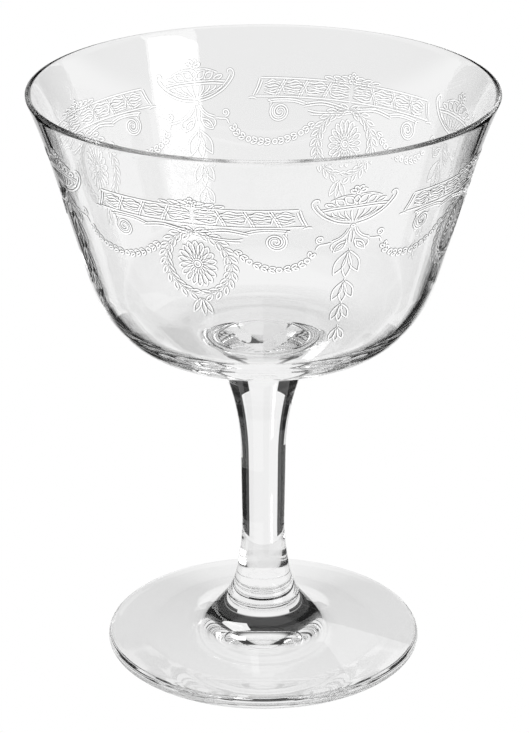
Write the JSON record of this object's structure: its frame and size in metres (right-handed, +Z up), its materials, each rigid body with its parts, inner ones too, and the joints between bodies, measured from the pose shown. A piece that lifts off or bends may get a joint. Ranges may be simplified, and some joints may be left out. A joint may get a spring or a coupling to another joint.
{
  "type": "champagne saucer glass",
  "caption": "Stemmed champagne saucer (coupe) in clear glass: wide flared bowl with an etched garland band, solid round stem and disc foot.",
  "frame": {"origin": "centre of the foot's resting plane", "axes": "+Z up along the glass's turning axis, from the foot to the rim"},
  "size_m": [0.095, 0.095, 0.1231],
  "materials": {
    "bowl_glass": "clear, fire-polished lip, etched garland band on the outside",
    "stem_glass": "clear, polished",
    "foot_glass": "clear, polished"
  },
  "bodies": {
    "root": {"bowl": "bowl_glass", "stem": "stem_glass", "foot": "foot_glass"}
  },
  "joints": []
}
